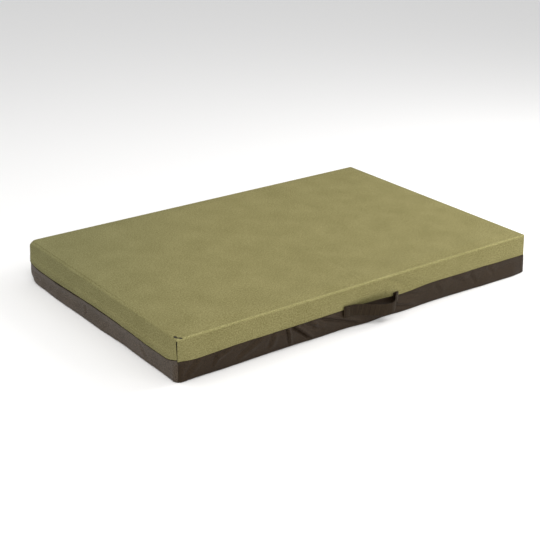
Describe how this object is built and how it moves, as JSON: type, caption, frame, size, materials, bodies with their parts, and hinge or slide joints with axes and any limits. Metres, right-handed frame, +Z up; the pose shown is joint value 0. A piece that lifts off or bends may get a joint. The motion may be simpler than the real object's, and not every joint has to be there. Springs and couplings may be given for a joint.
{
  "type": "crash landing mat",
  "caption": "Thick rectangular crash mat: olive and black canvas cover with a zip under a flap on a short side, layered foam inside, and a webbing carrying handle on a long side.",
  "frame": {"origin": "centre of the rectangular underside, in the plane of the floor", "axes": "X along the long side, +Y away from the side with the handle, Z up; the zip is on the -X side"},
  "size_m": [1.507, 1.0287, 0.146],
  "materials": {
    "olive_canvas": "matt woven canvas",
    "black_canvas": "matt woven canvas",
    "webbing": "ribbed polyester webbing",
    "thread": "bonded thread",
    "zip_tape": "woven tape",
    "zip_coil": "satin nylon",
    "zip_metal": "black lacquer with worn edges",
    "foam_open": "open cell foam",
    "foam_closed": "closed cell foam"
  },
  "bodies": {
    "mat": {"top_panel": "olive_canvas", "band_front": "olive_canvas", "band_back": "olive_canvas", "band_right": "olive_canvas", "band_zip_side": "olive_canvas", "lower_front": "black_canvas", "lower_back": "black_canvas", "lower_right": "black_canvas", "lower_zip_side": "black_canvas", "base_panel": "black_canvas", "zip_tape_upper": "zip_tape", "zip_tape_lower": "zip_tape", "zip_coil_upper": "zip_coil", "zip_coil_lower": "zip_coil", "zip_stops": "zip_metal", "handle_end_left": "webbing", "handle_end_right": "webbing", "handle_patch_left": "black_canvas", "handle_patch_right": "black_canvas", "handle_stitching": "thread", "core_foam": "foam_open", "landing_foam": "foam_closed"},
    "flap": {"zip_flap": "olive_canvas"},
    "slider": {"zip_slider": "zip_metal"},
    "pull": {"zip_pull": "zip_metal"},
    "handle": {"handle_loop": "webbing"}
  },
  "joints": [
    {"name": "flap_hinge", "type": "hinge", "parent": "mat", "child": "flap", "pos_m": [-0.7508, 0, 0.1], "axis": [0, 1, 0], "range_deg": [0, 150]},
    {"name": "zip_slide", "type": "slide", "parent": "mat", "child": "slider", "axis": [0, -1, 0], "range_m": [0, 0.85]},
    {"name": "pull_hinge", "type": "hinge", "parent": "slider", "child": "pull", "pos_m": [-0.7494, 0.425, 0.082], "axis": [0, 0, 1], "range_deg": [0, 170], "deforming": ["zip_flap"]},
    {"name": "handle_lift", "type": "hinge", "parent": "mat", "child": "handle", "pos_m": [0, -0.4963, 0.085], "axis": [-1, 0, 0], "range_deg": [0, 85]}
  ]
}
